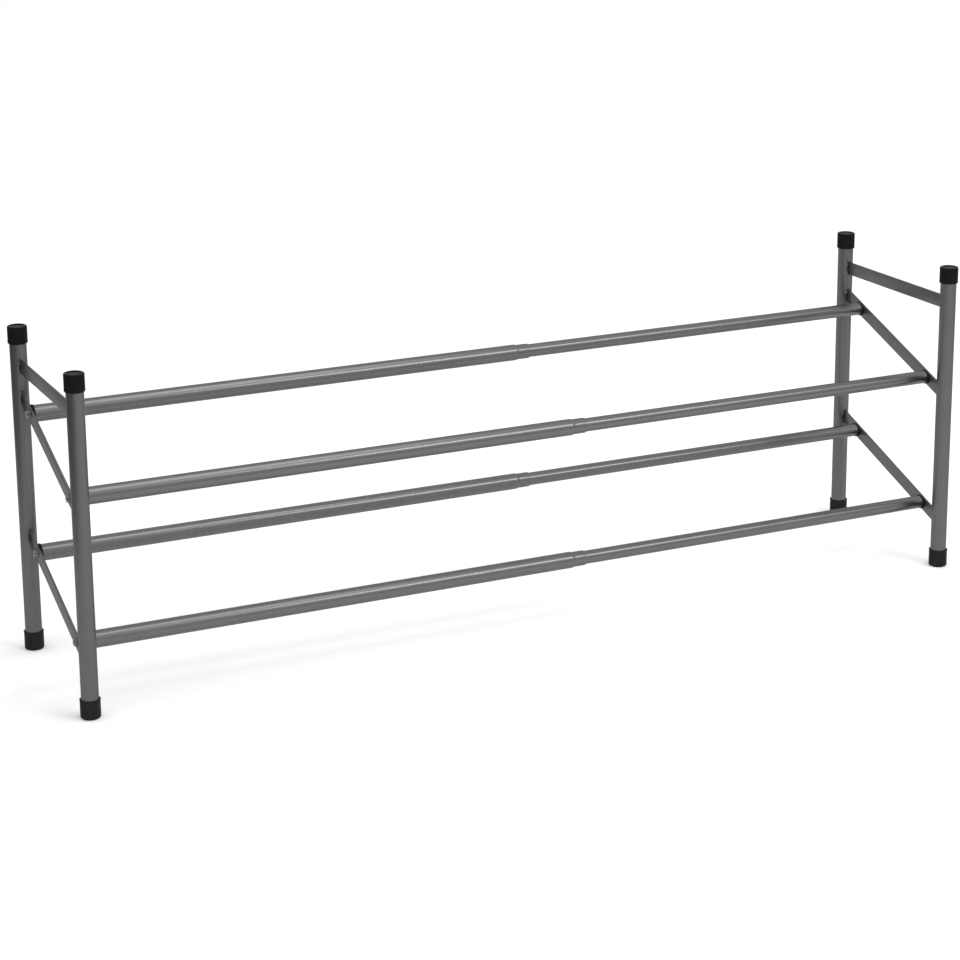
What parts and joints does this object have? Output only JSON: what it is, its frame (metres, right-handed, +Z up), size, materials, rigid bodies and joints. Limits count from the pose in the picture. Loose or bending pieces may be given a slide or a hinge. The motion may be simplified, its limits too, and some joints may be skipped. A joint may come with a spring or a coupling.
{
  "type": "pull out shoe rack",
  "caption": "Free-standing metal shoe rack on two tiers whose telescoping rails pull out to set its length, with round posts, sloping side bars and black plastic caps and feet.",
  "frame": {"origin": "on the floor, under the middle of the rack as it stands at rest, pulled most of the way out", "axes": "+X along the rack from its left end frame to its right one, -Y towards its front, where the tiers are lower, +Z up"},
  "size_m": [1.0976, 0.2446, 0.376],
  "materials": {
    "frame_paint": "grey powder coat with a fine metallic grain, satin",
    "rail_paint": "grey metallic paint on smooth tube, semi-gloss",
    "cap_plastic": "black moulded plastic, satin",
    "foot_plastic": "black moulded plastic, satin",
    "plug_plastic": "black moulded plastic, matt",
    "glide_plastic": "natural low-friction plastic, satin",
    "screw_zinc": "bright zinc plate"
  },
  "bodies": {
    "left_frame": {"left_front_post": "frame_paint", "left_front_cap": "cap_plastic", "left_front_foot": "foot_plastic", "left_rear_post": "frame_paint", "left_rear_cap": "cap_plastic", "left_rear_foot": "foot_plastic", "left_lower_shelf_bar": "frame_paint", "left_upper_shelf_bar": "frame_paint", "left_top_bar": "frame_paint", "lower_front_outer_rail": "rail_paint", "lower_front_left_plug": "plug_plastic", "lower_front_left_screw": "screw_zinc", "lower_rear_outer_rail": "rail_paint", "lower_rear_left_plug": "plug_plastic", "lower_rear_left_screw": "screw_zinc", "upper_front_outer_rail": "rail_paint", "upper_front_left_plug": "plug_plastic", "upper_front_left_screw": "screw_zinc", "upper_rear_outer_rail": "rail_paint", "upper_rear_left_plug": "plug_plastic", "upper_rear_left_screw": "screw_zinc"},
    "right_frame": {"right_front_post": "frame_paint", "right_front_cap": "cap_plastic", "right_front_foot": "foot_plastic", "right_rear_post": "frame_paint", "right_rear_cap": "cap_plastic", "right_rear_foot": "foot_plastic", "right_lower_shelf_bar": "frame_paint", "right_upper_shelf_bar": "frame_paint", "right_top_bar": "frame_paint", "lower_front_inner_rail": "rail_paint", "lower_front_glide": "glide_plastic", "lower_front_right_plug": "plug_plastic", "lower_front_right_screw": "screw_zinc", "lower_rear_inner_rail": "rail_paint", "lower_rear_glide": "glide_plastic", "lower_rear_right_plug": "plug_plastic", "lower_rear_right_screw": "screw_zinc", "upper_front_inner_rail": "rail_paint", "upper_front_glide": "glide_plastic", "upper_front_right_plug": "plug_plastic", "upper_front_right_screw": "screw_zinc", "upper_rear_inner_rail": "rail_paint", "upper_rear_glide": "glide_plastic", "upper_rear_right_plug": "plug_plastic", "upper_rear_right_screw": "screw_zinc"}
  },
  "joints": [
    {"name": "extension", "type": "slide", "parent": "left_frame", "child": "right_frame", "axis": [1, 0, 0], "range_m": [-0.466, 0.085]}
  ]
}
